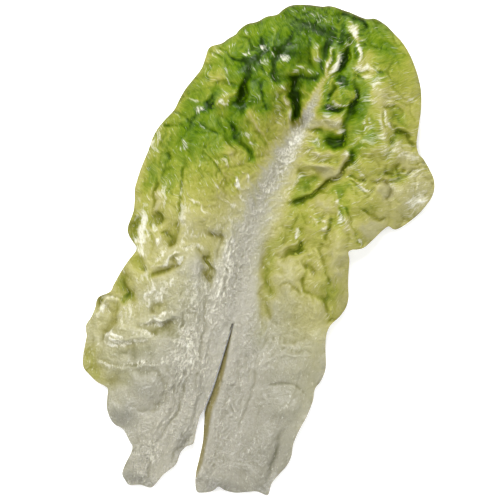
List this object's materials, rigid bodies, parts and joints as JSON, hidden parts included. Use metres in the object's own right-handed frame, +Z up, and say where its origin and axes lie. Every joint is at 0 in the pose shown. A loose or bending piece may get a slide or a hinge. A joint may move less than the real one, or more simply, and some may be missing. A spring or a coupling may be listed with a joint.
{
  "type": "romaine lettuce leaf",
  "caption": "Large romaine lettuce leaf for salads and dishes, lying face up: blistered green blade, thick pale midrib and a broad torn base split down the middle.",
  "frame": {"origin": "centre of the leaf's bounding box in plan, on the surface that the leaf lies on", "axes": "+Z up out of the upper face, +Y along the midrib from the torn base to the tip, +X to the right seen from above"},
  "size_m": [0.145, 0.2474, 0.0258],
  "materials": {
    "lettuce_flesh": "moist, glossy leaf skin, dark green at the tip, yellow-green in the middle and creamy white towards the base and along the midrib"
  },
  "bodies": {
    "root": {"leaf": "lettuce_flesh"}
  },
  "joints": []
}
